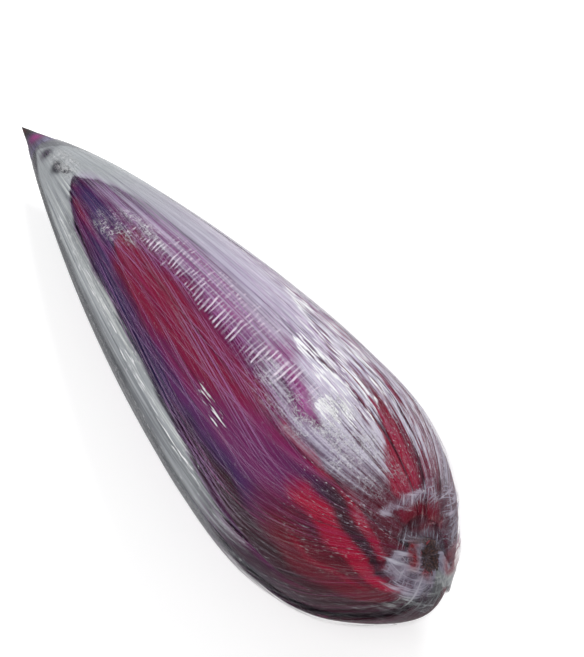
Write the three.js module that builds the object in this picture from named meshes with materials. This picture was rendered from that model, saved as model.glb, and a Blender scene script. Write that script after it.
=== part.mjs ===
// A banana blossom, as picked, wound tightly in clear stretch film. It lies on its side with its
// tip a little lower than its stem end. Millimetres, +Z up, the bud's axis along X.
import * as THREE from 'three';

// ---- Driving dimensions ------------------------------------------------------------------------
// The film's outline from the tip to the stem end: distance along the bud's own axis, and radius.
const OUTLINE = [
  [0, 0],
  [36, 13.4],
  [72, 23.6],
  [110, 32.2],
  [149, 38.8],
  [188, 43.2],
  [226, 43.4],
  [260, 31],
  [284, 0],
];
const REST_TILT = 7.4; // degrees that the axis climbs from the tip to the stem when it rests
const REST_PRESS = 0.8; // how far the lowest line is pressed flat
const FILM_THICKNESS = 0.6; // the wound film, all turns together
const FILM_GAP = 0.6; // clearance from the film to the outermost bracts
const BRACT_THICKNESS = 1.8;
const BRACT_THIN = 0.8; // a bract's thickness near the tip and at its edges
const LAYER_GAP = 0.5; // clearance between bracts that lie on each other
const STEM_RADIUS = 7.2;
const STEM_LENGTH = 8;
const STEM_RECESS = 1.4; // how far the cut face lies below the film
const STEM_SHIFT = 0.22; // how far off the axis the stem leaves, of the way to the thickest section
const STEM_TURN = 28; // degrees from the top towards +Y at which it leaves
const TIP_LEAN = -2; // how far the point is bent sideways, along Y
const TIP_LEAN_ENDS = 0.2; // share of the way at which the bend has died away
const DIMPLE_DEPTH = 2; // how far the film sinks in round the cut stem
const PUCKER_DEPTH = 0.9; // gathers of the film that run up to the stem
const PUCKER_COUNT = 8;

// ---- Form of the whole bud ---------------------------------------------------------------------
// A place on the bud is a share and a turn. Shares run from the tip (0) to the stem (1), turns are
// angles about the axis, 0 on top and positive towards +Y.
const SHARE_WIDEST = 0.7;
const radians = THREE.MathUtils.degToRad;
const smooth = (from, to, value) => THREE.MathUtils.smoothstep(value, from, to);

// A smooth curve through the outline. One more point at each end makes the tip a straight cone, and
// the stem end round.
const beforeTip = [-36, -13.4];
const [alongShoulder, radiusShoulder] = OUTLINE.at(-2);
const curvePoints = [beforeTip, ...OUTLINE, [alongShoulder, -radiusShoulder]];
const outlineCurve = new THREE.SplineCurve(curvePoints.map((point) => new THREE.Vector2(...point)));

// Distance along the axis (x) and radius (y) of the plain round form at a share.
const profile = (share) =>
  outlineCurve.getPoint((1 + share * (OUTLINE.length - 1)) / (curvePoints.length - 1));

// 1 at the thickest section, 0 at the stem.
const endReach = (share) => (1 - share) / (1 - SHARE_WIDEST);

// The stem leaves beside the axis, so on the rounded end every place is moved towards it, fully at
// the stem and not at all at the thickest section.
function towardsStem(share, turn) {
  const reach = endReach(share);
  if (reach >= 1) return { share, turn };
  const push = STEM_SHIFT * (1 - reach ** 2) ** 2;
  const up = reach * Math.cos(turn) + push * Math.cos(radians(STEM_TURN));
  const side = reach * Math.sin(turn) + push * Math.sin(radians(STEM_TURN));
  return { share: 1 - Math.hypot(up, side) * (1 - SHARE_WIDEST), turn: Math.atan2(side, up) };
}

// How strongly the film is gathered at a share: only on the rounded end, in a ring round the stem.
const gathered = (share) => smooth(0.12, 0.3, endReach(share)) * (1 - smooth(0.35, 0.75, endReach(share)));

// Everything sinks in round the stem, and makes room for the film's gathers.
const sunken = (share) =>
  DIMPLE_DEPTH * (1 - smooth(0.1, 0.3, endReach(share))) + PUCKER_DEPTH * gathered(share);

// Height of the axis at the tip that leaves the lowest line REST_PRESS under the surface.
const TILT = radians(REST_TILT);
const axisLift = (() => {
  let lowest = Infinity;
  for (let share = 0; share <= 1; share += 0.001) {
    const { x: along, y: radius } = profile(share);
    lowest = Math.min(lowest, along * Math.sin(TILT) - radius * Math.cos(TILT));
  }
  return -lowest - REST_PRESS;
})();

// The point at a share and turn, a depth inside the outer form, with its lowest side pressed flat.
function budPoint(share, turn, depth) {
  const place = towardsStem(share, turn);
  const step = 1e-4;
  const before = profile(Math.max(place.share - step, 0));
  const slope = profile(Math.min(place.share + step, 1)).sub(before).normalize();
  const inwards = depth + sunken(share);
  const { x: along, y: radius } = profile(place.share).add({ x: inwards * slope.y, y: -inwards * slope.x });
  const up = radius * Math.cos(place.turn);
  const x = along * Math.cos(TILT) - up * Math.sin(TILT);
  const y = radius * Math.sin(place.turn) + TIP_LEAN * Math.max(1 - share / TIP_LEAN_ENDS, 0) ** 2;
  const z = along * Math.sin(TILT) + up * Math.cos(TILT) + axisLift;
  return new THREE.Vector3(x, y, Math.max(z, depth));
}

// ---- Closed bodies from rings ------------------------------------------------------------------
// Joins neighbouring rings of points into one skin. A ring of one point is a pole. The two halves
// of a thin wall lean their triangles alike, which leans(column, row) settles.
function bodyFromRings(rings, { leans = () => false, flatEnds = false } = {}) {
  const points = [];
  const faces = [];
  const starts = rings.map((ring) => points.push(...ring) - ring.length);
  for (let row = 0; row + 1 < rings.length; row += 1) {
    const count = Math.max(rings[row].length, rings[row + 1].length);
    for (let column = 0; column < count; column += 1) {
      const next = (column + 1) % count;
      const corner = (ring, place) => starts[ring] + (rings[ring].length === 1 ? 0 : place);
      const a = corner(row, column);
      const b = corner(row, next);
      const c = corner(row + 1, next);
      const d = corner(row + 1, column);
      if (rings[row].length === 1) faces.push([a, d, c]);
      else if (rings[row + 1].length === 1) faces.push([a, c, b]);
      else if (leans(column, row)) faces.push([a, d, b], [b, d, c]);
      else faces.push([a, c, b], [a, d, c]);
    }
  }
  if (flatEnds) {
    const count = rings[0].length;
    const last = starts[rings.length - 1];
    for (let column = 0; column + 1 < count / 2; column += 1) {
      const [a, b, c, d] = [column, column + 1, count - 2 - column, count - 1 - column];
      faces.push([a, b, c], [a, c, d]);
      faces.push([last + a, last + c, last + b], [last + a, last + d, last + c]);
    }
  }
  const geometry = new THREE.BufferGeometry().setFromPoints(points);
  geometry.setIndex(faces.flat());
  geometry.computeVertexNormals();
  return geometry;
}

const spread = (from, to, count) =>
  Array.from({ length: count + 1 }, (_, index) => from + ((to - from) * index) / count);

// Every piece takes its rings from one list of shares, so that layers bend at the same places.
const RING_SHARES = [
  ...spread(0.01, 0.15, 6),
  ...spread(0.15, SHARE_WIDEST, 12).slice(1),
  ...spread(SHARE_WIDEST, 0.97, 9).slice(1),
];
const CLOSEST_RINGS = 0.007;
function sharesBetween(from, to) {
  const within = (share) => share > from + CLOSEST_RINGS && share < to - CLOSEST_RINGS;
  return [from, ...RING_SHARES.filter(within), to];
}

// A full ring about the axis at one share; depthAt(share, turn) gives its depth.
const FILM_COLUMNS = 40;
const ringAt = (share, depthAt, columns = FILM_COLUMNS) =>
  spread(0, 2 * Math.PI, columns)
    .slice(0, -1)
    .map((turn) => budPoint(share, turn, depthAt(share, turn)));

const part = new THREE.Group();
function addPiece(name, geometry, color, roughness) {
  const material = new THREE.MeshStandardMaterial({ color, roughness, metalness: 0 });
  const mesh = new THREE.Mesh(geometry, material);
  mesh.name = name;
  part.add(mesh);
  return mesh;
}

// ---- Stretch film ------------------------------------------------------------------------------
// One bag-like skin: open at the tip, where the bare point sticks out, and gathered over the stem.
const FILM_MOUTH = 0.07;
const filmShares = sharesBetween(FILM_MOUTH, 0.985);
const gather = (share, turn) => (-PUCKER_DEPTH * gathered(share) * (1 + Math.cos(PUCKER_COUNT * turn))) / 2;
const filmInside = (share, turn) => gather(share, turn) + FILM_THICKNESS;
const inside = [...filmShares].reverse().map((share) => ringAt(share, filmInside));
const outside = filmShares.map((share) => ringAt(share, gather));
const filmRings = [
  [budPoint(1, 0, FILM_THICKNESS)],
  ...inside,
  ...outside,
  [budPoint(1, 0, 0)],
];
const filmBody = bodyFromRings(filmRings, { leans: (column, row) => row <= inside.length });
const film = addPiece('film_wrap', filmBody, 0xc9c4d0, 0.15);
film.material.transparent = true;
film.material.opacity = 0.45;

// ---- Layers of bracts --------------------------------------------------------------------------
// Layer 0 lies right under the film. Each layer starts further from the tip than the one below it,
// and below its start the inner layers come up to the film.
const LAYER_STARTS = [0.2, 0.14, 0.1];
const LAYER_RAMPS = [0.035, 0.035, 0.025];
const thicknessAt = (share) => BRACT_THIN + (BRACT_THICKNESS - BRACT_THIN) * smooth(0.08, 0.35, share);

function layerDepth(layer, share) {
  let depth = FILM_THICKNESS + FILM_GAP;
  for (let above = 0; above < layer; above += 1) {
    const start = LAYER_STARTS[above];
    depth += (thicknessAt(share) + LAYER_GAP) * smooth(start - LAYER_RAMPS[above], start, share);
  }
  return depth;
}

// A bract runs from its pointed end to a foot beside the stem. turns are its middle line at the
// point, the belly and the foot; halves are half its width at the belly and the foot.
const FOOT_SHARES = [0.958, 0.952, 0.946];
const POINT_HALF_WIDTH = 7;
const POINT_RING = 0.006; // one more ring close to the point rounds it
const bracts = [
  { name: 'bract_front', layer: 0, starts: 0.325, turns: [-11, -27, -75], halves: [27, 36], columns: 8 },
  { name: 'bract_right', layer: 0, starts: 0.2, turns: [80, 96, 98], halves: [51, 56], columns: 12 },
  { name: 'bract_left', layer: 0, starts: 0.22, turns: [-150, -153, -162], halves: [42, 38], columns: 10 },
  { name: 'bract_second', layer: 1, starts: 0.185, turns: [-14, -22, -27], halves: [47, 54], columns: 10 },
  { name: 'bract_under_right', layer: 1, starts: 0.15, turns: [74, 83, 96], halves: [52, 66], columns: 12 },
  { name: 'bract_under_left', layer: 1, starts: 0.14, turns: [-118, -121, -140], halves: [48, 54], columns: 12 },
  { name: 'bract_inner_front', layer: 2, starts: 0.11, turns: [-4, -4, -4], halves: [86, 86], columns: 14 },
  { name: 'bract_inner_back', layer: 2, starts: 0.1, turns: [176, 176, 176], halves: [86, 86], columns: 14 },
];

// Middle line through three turns: at the point, half way along and at the foot.
function middleTurn([point, belly, foot], way) {
  return point * (1 - way) * (1 - 2 * way) + belly * 4 * way * (1 - way) + foot * way * (2 * way - 1);
}

// Half the width in degrees: it grows like a quarter of an ellipse, then eases to the foot's width.
function halfWidth([belly, foot], way) {
  const opened = Math.sin(Math.min(way / 0.42, 1) * (Math.PI / 2)) ** 0.55;
  const grown = POINT_HALF_WIDTH + (belly - POINT_HALF_WIDTH) * opened;
  return grown + (foot - belly) * smooth(0.5, 1, way);
}

function bractBody({ layer, starts, turns, halves, columns }) {
  const shares = sharesBetween(starts, FOOT_SHARES[layer]);
  shares.splice(1, 0, starts + POINT_RING);
  const rings = shares.map((share) => {
    const way = (share - starts) / (FOOT_SHARES[layer] - starts);
    const sides = spread(-1, 1, columns);
    const placeAt = (across, depth) =>
      budPoint(share, radians(middleTurn(turns, way) + across * halfWidth(halves, way)), depth);
    const outer = sides.map((across) => placeAt(across, layerDepth(layer, share)));
    const inner = sides.map((across) => {
      const fullness = Math.sqrt(1 - across ** 4) * smooth(0, 0.12, way);
      const thickness = BRACT_THIN + (thicknessAt(share) - BRACT_THIN) * fullness;
      return placeAt(across, layerDepth(layer, share) + thickness);
    });
    return [...outer, ...inner.reverse()];
  });
  return bodyFromRings(rings, { leans: (column) => column <= columns, flatEnds: true });
}

for (const bract of bracts) {
  const color = bract.layer === 0 ? 0x7d2346 : 0x5a2a55;
  addPiece(bract.name, bractBody(bract), color, 0.45);
}

// ---- Inner bud ---------------------------------------------------------------------------------
// The tightly rolled heart, whose bare point sticks out of the film. Two rolled edges run round it
// as low steps, and its thick end has a socket for the stem.
const BUD_COLUMNS = 30;
const ROLL_STEP = 0.35;
const SOCKET_SHARE = 0.945;
function budDepth(share, turn) {
  const underFilm = (FILM_THICKNESS + FILM_GAP) * smooth(0.045, FILM_MOUTH - 0.005, share);
  const layers = layerDepth(bracts.at(-1).layer + 1, share) - (FILM_THICKNESS + FILM_GAP);
  const rolled = turn / Math.PI + 9 * share;
  const fade = smooth(0.01, 0.03, share) * (1 - smooth(0.5, 0.7, share));
  const step = ROLL_STEP * fade * (rolled - Math.floor(rolled));
  const socket = (STEM_LENGTH - 4) * smooth(SOCKET_SHARE - 0.006, SOCKET_SHARE, share);
  return underFilm + layers + step + socket;
}
const budShares = [...sharesBetween(0.004, SOCKET_SHARE - 0.006), SOCKET_SHARE, 0.985];
const budRings = [
  [budPoint(0, 0, 0)],
  ...budShares.map((share) => ringAt(share, budDepth, BUD_COLUMNS)),
  [budPoint(1, 0, budDepth(1, 0))],
];
addPiece('inner_bud', bodyFromRings(budRings), 0x4a2440, 0.5);

// ---- Cut stem ----------------------------------------------------------------------------------
// A short round stub on the line of the bud's end, with a worn rim, its cut face under the film.
const stemDepth = FILM_THICKNESS + STEM_RECESS;
const stemTop = budPoint(1, 0, stemDepth);
const stemFoot = budPoint(1, 0, stemDepth + STEM_LENGTH);
const stemProfile = [
  [0, 0],
  [STEM_RADIUS * 0.9, 0],
  [STEM_RADIUS * 0.92, STEM_LENGTH * 0.3],
  [STEM_RADIUS, STEM_LENGTH - 1.2],
  [STEM_RADIUS - 0.8, STEM_LENGTH],
  [0, STEM_LENGTH - 0.6],
].map(([radius, height]) => new THREE.Vector2(radius, height));
const stem = addPiece('stem_stub', new THREE.LatheGeometry(stemProfile, 24), 0x4a3226, 0.8);
stem.position.copy(stemFoot);
stem.quaternion.setFromUnitVectors(
  new THREE.Vector3(0, 1, 0),
  stemTop.clone().sub(stemFoot).normalize(),
);

// The origin is under the middle of the part, on the surface that it rests on.
const middle = new THREE.Box3().setFromObject(part).getCenter(new THREE.Vector3());
part.position.set(-middle.x, -middle.y, 0);

export default part;
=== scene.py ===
import math

import bpy
import numpy as np
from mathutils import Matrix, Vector


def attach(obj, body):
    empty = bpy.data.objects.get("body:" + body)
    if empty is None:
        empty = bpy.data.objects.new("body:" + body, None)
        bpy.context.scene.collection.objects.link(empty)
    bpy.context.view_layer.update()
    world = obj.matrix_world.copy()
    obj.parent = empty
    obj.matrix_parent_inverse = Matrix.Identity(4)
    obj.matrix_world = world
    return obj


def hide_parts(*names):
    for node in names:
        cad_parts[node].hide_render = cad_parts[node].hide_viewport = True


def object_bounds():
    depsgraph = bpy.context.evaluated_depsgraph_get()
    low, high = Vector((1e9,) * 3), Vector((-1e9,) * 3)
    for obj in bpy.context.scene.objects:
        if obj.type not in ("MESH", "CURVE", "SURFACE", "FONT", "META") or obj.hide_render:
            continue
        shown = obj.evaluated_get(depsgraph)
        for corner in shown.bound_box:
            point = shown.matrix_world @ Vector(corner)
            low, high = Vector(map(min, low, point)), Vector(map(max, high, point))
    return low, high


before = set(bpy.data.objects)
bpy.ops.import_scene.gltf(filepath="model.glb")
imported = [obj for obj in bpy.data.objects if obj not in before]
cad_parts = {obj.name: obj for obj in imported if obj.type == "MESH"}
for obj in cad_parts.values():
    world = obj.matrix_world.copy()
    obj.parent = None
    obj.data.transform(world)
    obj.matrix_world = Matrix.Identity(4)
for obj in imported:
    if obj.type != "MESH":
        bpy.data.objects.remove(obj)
cad_low, cad_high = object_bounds()


# ---- Camera ------------------------------------------------------------------------------------
# The blossom lies on a table with its tip to the far left and its stem end near. The camera stands
# above its near side and looks down on it.
CAMERA_PLACE = Vector((0.2902, -0.1621, 0.6209))
CAMERA_TURN = math.radians(-34.77)
CAMERA_RISE = math.radians(60.07)
CAMERA_LENS = 96.8

camera_data = bpy.data.cameras.new("camera")
camera_data.lens = CAMERA_LENS
camera = bpy.data.objects.new("camera", camera_data)
level = math.cos(CAMERA_RISE)
backwards = Vector((level * math.cos(CAMERA_TURN), level * math.sin(CAMERA_TURN), math.sin(CAMERA_RISE)))
camera.location = CAMERA_PLACE
camera.rotation_mode = "QUATERNION"
camera.rotation_quaternion = (-backwards).to_track_quat("-Z", "Y")
bpy.context.scene.collection.objects.link(camera)
bpy.context.scene.camera = camera


# ---- Inner bud ---------------------------------------------------------------------------------
# The heart of the blossom: young bracts rolled tightly into one firm, pointed body. Its tip is the
# only part that the film leaves bare. It is fleshy, waxy, nearly black at the point, and grew there.
# Lengths are millimetres. A place is a share of the way from the tip (0) to the stem (1), and a turn
# about the axis, 0 on top.
OUTLINE = np.array(  # along the axis and radius, with one more point past each end
    [
        (-36, -13.4), (0, 0), (36, 13.4), (72, 23.6), (110, 32.2), (149, 38.8),
        (188, 43.2), (226, 43.4), (260, 31), (284, 0), (260, -31),
    ]
)
SHARE_WIDEST = 0.7
REST_TILT = math.radians(7.4)
REST_PRESS = 0.8
STEM_SHIFT = 0.22
STEM_TURN = math.radians(28)
TIP_LEAN = -2.0
TIP_LEAN_ENDS = 0.2
DIMPLE_DEPTH = 2.0
PUCKER_DEPTH = 0.9
FILM_THICKNESS = 0.6
FILM_GAP = 0.6
FILM_MOUTH = 0.07
BRACT_THICKNESS = 1.8
BRACT_THIN = 0.8
LAYER_GAP = 0.5
LAYER_STARTS = (0.2, 0.14, 0.1)
LAYER_RAMPS = (0.035, 0.035, 0.025)
STEM_LENGTH = 8.0
SOCKET_SHARE = 0.945
MOUTH_STEP = 0.4
MOUTH_SLOPE = 0.8
BUD_ROLL = 0.35
BUD_RINGS, BUD_COLUMNS = 260, 96
BUD_TIP_RINGS = 60


def smooth(low, high, value):
    """0 below low, 1 above high, and the cubic 3s^2 - 2s^3 between them."""
    step = np.clip((value - low) / (high - low), 0, 1)
    return step * step * (3 - 2 * step)


def profile(share):
    """Distance along the axis and radius at a share of the way from the tip to the stem: a cubic
    between each two neighbouring outline points, whose slopes run parallel to the next points."""
    place = 1 + share * (len(OUTLINE) - 3)
    index = np.clip(np.floor(place), 1, len(OUTLINE) - 3).astype(int)
    way = (place - index)[..., None]
    before, start, end, after = (OUTLINE[index + offset] for offset in (-1, 0, 1, 2))
    leaving, arriving = (end - before) / 2, (after - start) / 2
    cubic = (2 * (start - end) + leaving + arriving) * way**3
    square = (3 * (end - start) - 2 * leaving - arriving) * way**2
    return cubic + square + leaving * way + start


def end_reach(share):
    """1 at the widest section, 0 at the stem."""
    return (1 - share) / (1 - SHARE_WIDEST)


def towards_stem(share, turn):
    """The stem leaves beside the axis: on the rounded end a place is pushed towards it, by the
    stem's shift times (1 - reach^2)^2."""
    reach = end_reach(share)
    push = STEM_SHIFT * np.clip(1 - reach**2, 0, 1) ** 2
    up = reach * np.cos(turn) + push * math.cos(STEM_TURN)
    side = reach * np.sin(turn) + push * math.sin(STEM_TURN)
    moved = 1 - np.hypot(up, side) * (1 - SHARE_WIDEST)
    rounded = reach < 1
    return np.where(rounded, moved, share), np.where(rounded, np.arctan2(side, up), turn)


def gathered(share):
    """How strongly the film is gathered: 1 in a ring round the stem, 0 beyond it."""
    reach = end_reach(share)
    return smooth(0.12, 0.3, reach) * (1 - smooth(0.35, 0.75, reach))


whole = profile(np.linspace(0, 1, 1001))
lowest = np.min(whole[:, 0] * math.sin(REST_TILT) - whole[:, 1] * math.cos(REST_TILT))
axis_lift = -REST_PRESS - lowest


def on_bud(share, turn, depth):
    """The point a depth in millimetres inside the whole bud's form, in metres. The round form is
    offset along its normal, tilted to rest, bent sideways at the tip and pressed flat below."""
    moved_share, moved_turn = towards_stem(share, turn)
    slope = profile(np.minimum(moved_share + 1e-4, 1)) - profile(np.maximum(moved_share - 1e-4, 0))
    slope = slope / np.linalg.norm(slope, axis=-1, keepdims=True)
    dimple = DIMPLE_DEPTH * (1 - smooth(0.1, 0.3, end_reach(share)))
    inwards = depth + dimple + PUCKER_DEPTH * gathered(share)
    plain = profile(moved_share)
    along = plain[..., 0] + inwards * slope[..., 1]
    radius = plain[..., 1] - inwards * slope[..., 0]
    up = radius * np.cos(moved_turn)
    x = along * math.cos(REST_TILT) - up * math.sin(REST_TILT)
    y = radius * np.sin(moved_turn) + TIP_LEAN * np.clip(1 - share / TIP_LEAN_ENDS, 0, 1) ** 2
    z = along * math.sin(REST_TILT) + up * math.cos(REST_TILT) + axis_lift
    return np.stack([x / 1000 + cad_low.x, y / 1000, np.maximum(z, depth) / 1000], axis=-1)


def thickness_at(share):
    """A bract is thin at the tip and reaches its full thickness a third of the way along."""
    return BRACT_THIN + (BRACT_THICKNESS - BRACT_THIN) * smooth(0.08, 0.35, share)


def layer_depth(layer, share):
    """Depth of a layer's outer face: the film, then each layer above it from where that starts."""
    depth = FILM_THICKNESS + FILM_GAP + 0 * share
    for start, ramp in zip(LAYER_STARTS[:layer], LAYER_RAMPS):
        depth = depth + (thickness_at(share) + LAYER_GAP) * smooth(start - ramp, start, share)
    return depth


def ring_faces(rings, columns):
    """Quads between neighbouring closed rings."""
    corner = np.arange(rings * columns).reshape(rings, columns)
    beside = np.roll(corner, -1, axis=1)
    return np.stack([corner[:-1], corner[1:], beside[1:], beside[:-1]], axis=-1).reshape(-1, 4).tolist()


def pole_faces(ring, pole, outwards):
    """Triangles from one closed ring to a pole."""
    around = [ring, np.roll(ring, -1)] if outwards else [np.roll(ring, -1), ring]
    return np.stack([np.full_like(ring, pole), *around], axis=-1).tolist()


DRUM_LENGTH = 295.0
DRUM_RADIUS = 40.0


def add_skin(name, node, share, turn, depth, faces, finish, tints):
    """A mesh over flat arrays of places. It keeps two kinds of attribute for its finish: its place
    unrolled on a drum about as wide as the belly, as a vector, and each tint, from 0 to 1."""
    mesh = bpy.data.meshes.new(name)
    mesh.from_pydata(on_bud(share, turn, depth).tolist(), [], faces)
    mesh.shade_smooth()
    drum = [DRUM_LENGTH * share, DRUM_RADIUS * np.cos(turn), DRUM_RADIUS * np.sin(turn)]
    unrolled = np.stack(drum, axis=-1)
    mesh.attributes.new("unrolled", "FLOAT_VECTOR", "POINT").data.foreach_set("vector", unrolled.ravel())
    for key, values in tints.items():
        kept = np.ascontiguousarray(np.broadcast_to(values, share.shape), dtype=np.float32)
        mesh.attributes.new(key, "FLOAT", "POINT").data.foreach_set("value", kept)
    mesh.materials.append(finish.material)
    piece = bpy.data.objects.new(name, mesh)
    bpy.context.scene.collection.objects.link(piece)
    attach(piece, "root")
    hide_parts(node)
    return piece


def colour(hexadecimal):
    """A colour written as on screen, made linear for the shader."""
    shown = np.array([int(hexadecimal[place : place + 2], 16) / 255 for place in (0, 2, 4)])
    linear = np.where(shown > 0.04045, ((shown + 0.055) / 1.055) ** 2.4, shown / 12.92)
    return (*linear.tolist(), 1.0)


class Socket:
    """A number in a shader. Arithmetic on it adds Math nodes."""

    def __init__(self, finish, socket):
        self.finish, self.socket = finish, socket

    def math(self, operation, first, second=0.0):
        return self.finish.node("ShaderNodeMath", {"operation": operation}, {0: first, 1: second})

    def __add__(self, other):
        return self.math("ADD", self, other)

    def __sub__(self, other):
        return self.math("SUBTRACT", self, other)

    def __rsub__(self, other):
        return self.math("SUBTRACT", other, self)

    def __mul__(self, other):
        return self.math("MULTIPLY", self, other)

    def __pow__(self, other):
        return self.math("POWER", self, other)

    __radd__ = __add__
    __rmul__ = __mul__

    def most(self, other):
        """The greater of the two."""
        return self.math("MAXIMUM", self, other)

    def least(self, other):
        """The smaller of the two."""
        return self.math("MINIMUM", self, other)

    def size(self):
        """The value without its sign."""
        return self.math("ABSOLUTE", self)

    def fade(self, low, high):
        """0 at low and 1 at high, smoothly, whichever of them is the greater."""
        sockets = {"Value": self, "From Min": low, "From Max": high}
        return self.finish.node("ShaderNodeMapRange", {"interpolation_type": "SMOOTHSTEP"}, sockets)


class Finish:
    """One material: its shader and the nodes that feed it."""

    def __init__(self, name):
        self.material = bpy.data.materials.new(name)
        self.material.use_nodes = True
        self.tree = self.material.node_tree

    def node(self, kind, settings, sockets, output=0):
        """Adds any node: its settings first, then the values or links of its sockets."""
        added = self.tree.nodes.new(kind)
        for key, value in settings.items():
            setattr(added, key, value)
        self.join(added, sockets)
        return Socket(self, added.outputs[output])

    def join(self, added, sockets):
        """Links a socket's value if it varies, and sets it if it is the same all over."""
        for key, value in sockets.items():
            if isinstance(value, Socket):
                self.tree.links.new(value.socket, added.inputs[key])
            else:
                added.inputs[key].default_value = value

    def tint(self, key, output=2):
        """An attribute of the mesh: its number, or with output 1 its vector."""
        return self.node("ShaderNodeAttribute", {"attribute_name": key}, {}, output)

    def noise(self, length, width, detail=2.0, shift=0.0, twist=0.0):
        """Noise over the unrolled surface, in millimetres along it and across it. A twist winds it
        round the axis, by that many radians from the tip to the stem."""
        place = self.tint("unrolled", 1)
        if twist:
            share = self.node("ShaderNodeSeparateXYZ", {}, {0: place}) * (twist / DRUM_LENGTH)
            turned = {"Vector": place, "Angle": share}
            place = self.node("ShaderNodeVectorRotate", {"rotation_type": "X_AXIS"}, turned)
        scale = {0: place, 1: (1 / length, 1 / width, 1 / width), 2: (shift,) * 3}
        vector = self.node("ShaderNodeVectorMath", {"operation": "MULTIPLY_ADD"}, scale)
        return self.node("ShaderNodeTexNoise", {}, {"Vector": vector, "Scale": 1.0, "Detail": detail})

    def mix(self, factor, first, second):
        """The first colour at 0 and the second at 1."""
        return self.node("ShaderNodeMix", {"data_type": "RGBA"}, {0: factor, 6: first, 7: second}, 2)

    def bump(self, height, millimetres, under=None):
        """A normal bent by a height from 0 to 1, over another bump if one is given."""
        sockets = {"Height": height, "Distance": millimetres / 1000, "Strength": 1.0}
        if under:
            sockets["Normal"] = under
        return self.node("ShaderNodeBump", {}, sockets)

    def surface(self, sockets):
        """Sets or links the shader's own sockets."""
        self.join(self.tree.nodes["Principled BSDF"], sockets)


def bud_depth(share, turn):
    """Just under the film, then under every layer of bracts, with two rolled edges as low steps
    that wind half round in each ninth of the length, and a socket for the stem."""
    step = MOUTH_STEP * smooth(FILM_MOUTH - 0.006, FILM_MOUTH, share)
    under_film = step + MOUTH_SLOPE * smooth(0.078, 0.1, share)
    layers = layer_depth(len(LAYER_STARTS), share) - (FILM_THICKNESS + FILM_GAP)
    rolled = turn / np.pi + 9 * share
    fade = smooth(0.01, 0.03, share) * (1 - smooth(0.5, 0.7, share))
    socket = (STEM_LENGTH - 4) * smooth(SOCKET_SHARE - 0.006, SOCKET_SHARE, share)
    return under_film + layers + BUD_ROLL * fade * (rolled - np.floor(rolled)) + socket


def spot(share, turn, at, size):
    """A soft round spot: a bell over the distance from its middle, in shares and degrees."""
    away = (np.degrees(turn) - at[1] + 180) % 360 - 180
    return np.exp(-(((share - at[0]) / size[0]) ** 2) - (away / size[1]) ** 2)


tip_share = np.geomspace(0.003, 0.1, BUD_TIP_RINGS)
body_share = np.linspace(0.1, 0.985, BUD_RINGS - BUD_TIP_RINGS + 1)[1:]
bud_share = np.concatenate([tip_share, body_share])
bud_turn = np.linspace(0, 2 * np.pi, BUD_COLUMNS, endpoint=False) - np.pi
share, turn = (grid.ravel() for grid in np.meshgrid(bud_share, bud_turn, indexing="ij"))
share, turn = np.append(share, [0, 1]), np.append(turn, [0, 0])
corners = np.arange(BUD_RINGS * BUD_COLUMNS).reshape(BUD_RINGS, BUD_COLUMNS)
bud_faces = ring_faces(BUD_RINGS, BUD_COLUMNS)
bud_faces += pole_faces(corners[0], corners.size, True)
bud_faces += pole_faces(corners[-1], corners.size + 1, False)
bud_tints = {
    "charred": 1 - smooth(0.022, 0.036, share),
    "magenta": spot(share, turn, (0.046, -6), (0.009, 34)),
    "ruddy": spot(share, turn, (0.012, -30), (0.007, 30)),
    "dusty": smooth(0.045, 0.075, share) * (0.4 + 0.6 * smooth(-0.6, 0.4, np.sin(turn))),
    "foot": smooth(0.9, 0.94, share),
}

bud_finish = Finish("waxy bud")
fibres = bud_finish.noise(30, 1.2)
mottle = bud_finish.noise(6, 4)
flesh = bud_finish.mix(mottle.fade(0.35, 0.7), colour("281434"), colour("443a56"))
flesh = bud_finish.mix(bud_finish.tint("dusty") * mottle.fade(0.3, 0.5), flesh, colour("8a88a0"))
flesh = bud_finish.mix(bud_finish.tint("magenta"), flesh, colour("8a2470"))
flesh = bud_finish.mix(bud_finish.tint("charred"), flesh, colour("140c10"))
flesh = bud_finish.mix(bud_finish.tint("ruddy") * mottle.fade(0.3, 0.6), flesh, colour("5c2028"))
flesh = bud_finish.mix(bud_finish.tint("foot"), flesh, colour("7a1c34"))
flesh = bud_finish.mix(fibres.fade(0.55, 0.75) * 0.2, flesh, colour("c0a8c4"))
bud_finish.surface({
    "Base Color": flesh,
    "Roughness": 0.35 + 0.25 * mottle,
    "Specular IOR Level": 0.2,
    "Normal": bud_finish.bump(fibres, 0.25),
})
inner_bud = add_skin(
    "rolled_bud", "inner_bud", share, turn, bud_depth(share, turn), bud_faces, bud_finish, bud_tints
)


# ---- Bracts ------------------------------------------------------------------------------------
# Eight boat-shaped bracts in three layers, each a fleshy, veined scale with a waxy face. Each grew
# from the stem end, lies pressed on the one below it and ends in a rounded point.
BRACTS = {  # layer, start, middle turns at the point, belly and foot, half widths at belly and foot
    "bract_front": (0, 0.325, (-11, -27, -75), (27, 36)),
    "bract_right": (0, 0.2, (80, 96, 98), (51, 56)),
    "bract_left": (0, 0.22, (-150, -153, -162), (42, 38)),
    "bract_second": (1, 0.185, (-14, -22, -27), (47, 54)),
    "bract_under_right": (1, 0.15, (74, 83, 96), (52, 66)),
    "bract_under_left": (1, 0.14, (-118, -121, -140), (48, 54)),
    "bract_inner_front": (2, 0.11, (-4, -4, -4), (86, 86)),
    "bract_inner_back": (2, 0.1, (176, 176, 176), (86, 86)),
}
FOOT_SHARES = (0.958, 0.952, 0.946)
POINT_HALF_WIDTH = 7.0
BRACT_RINGS, BRACT_COLUMNS = 150, 40


def middle_turn(turns, way):
    """The parabola through the turns at the point, half way along and at the foot."""
    point, belly, foot = turns
    return point * (1 - way) * (1 - 2 * way) + belly * 4 * way * (1 - way) + foot * way * (2 * way - 1)


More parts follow.
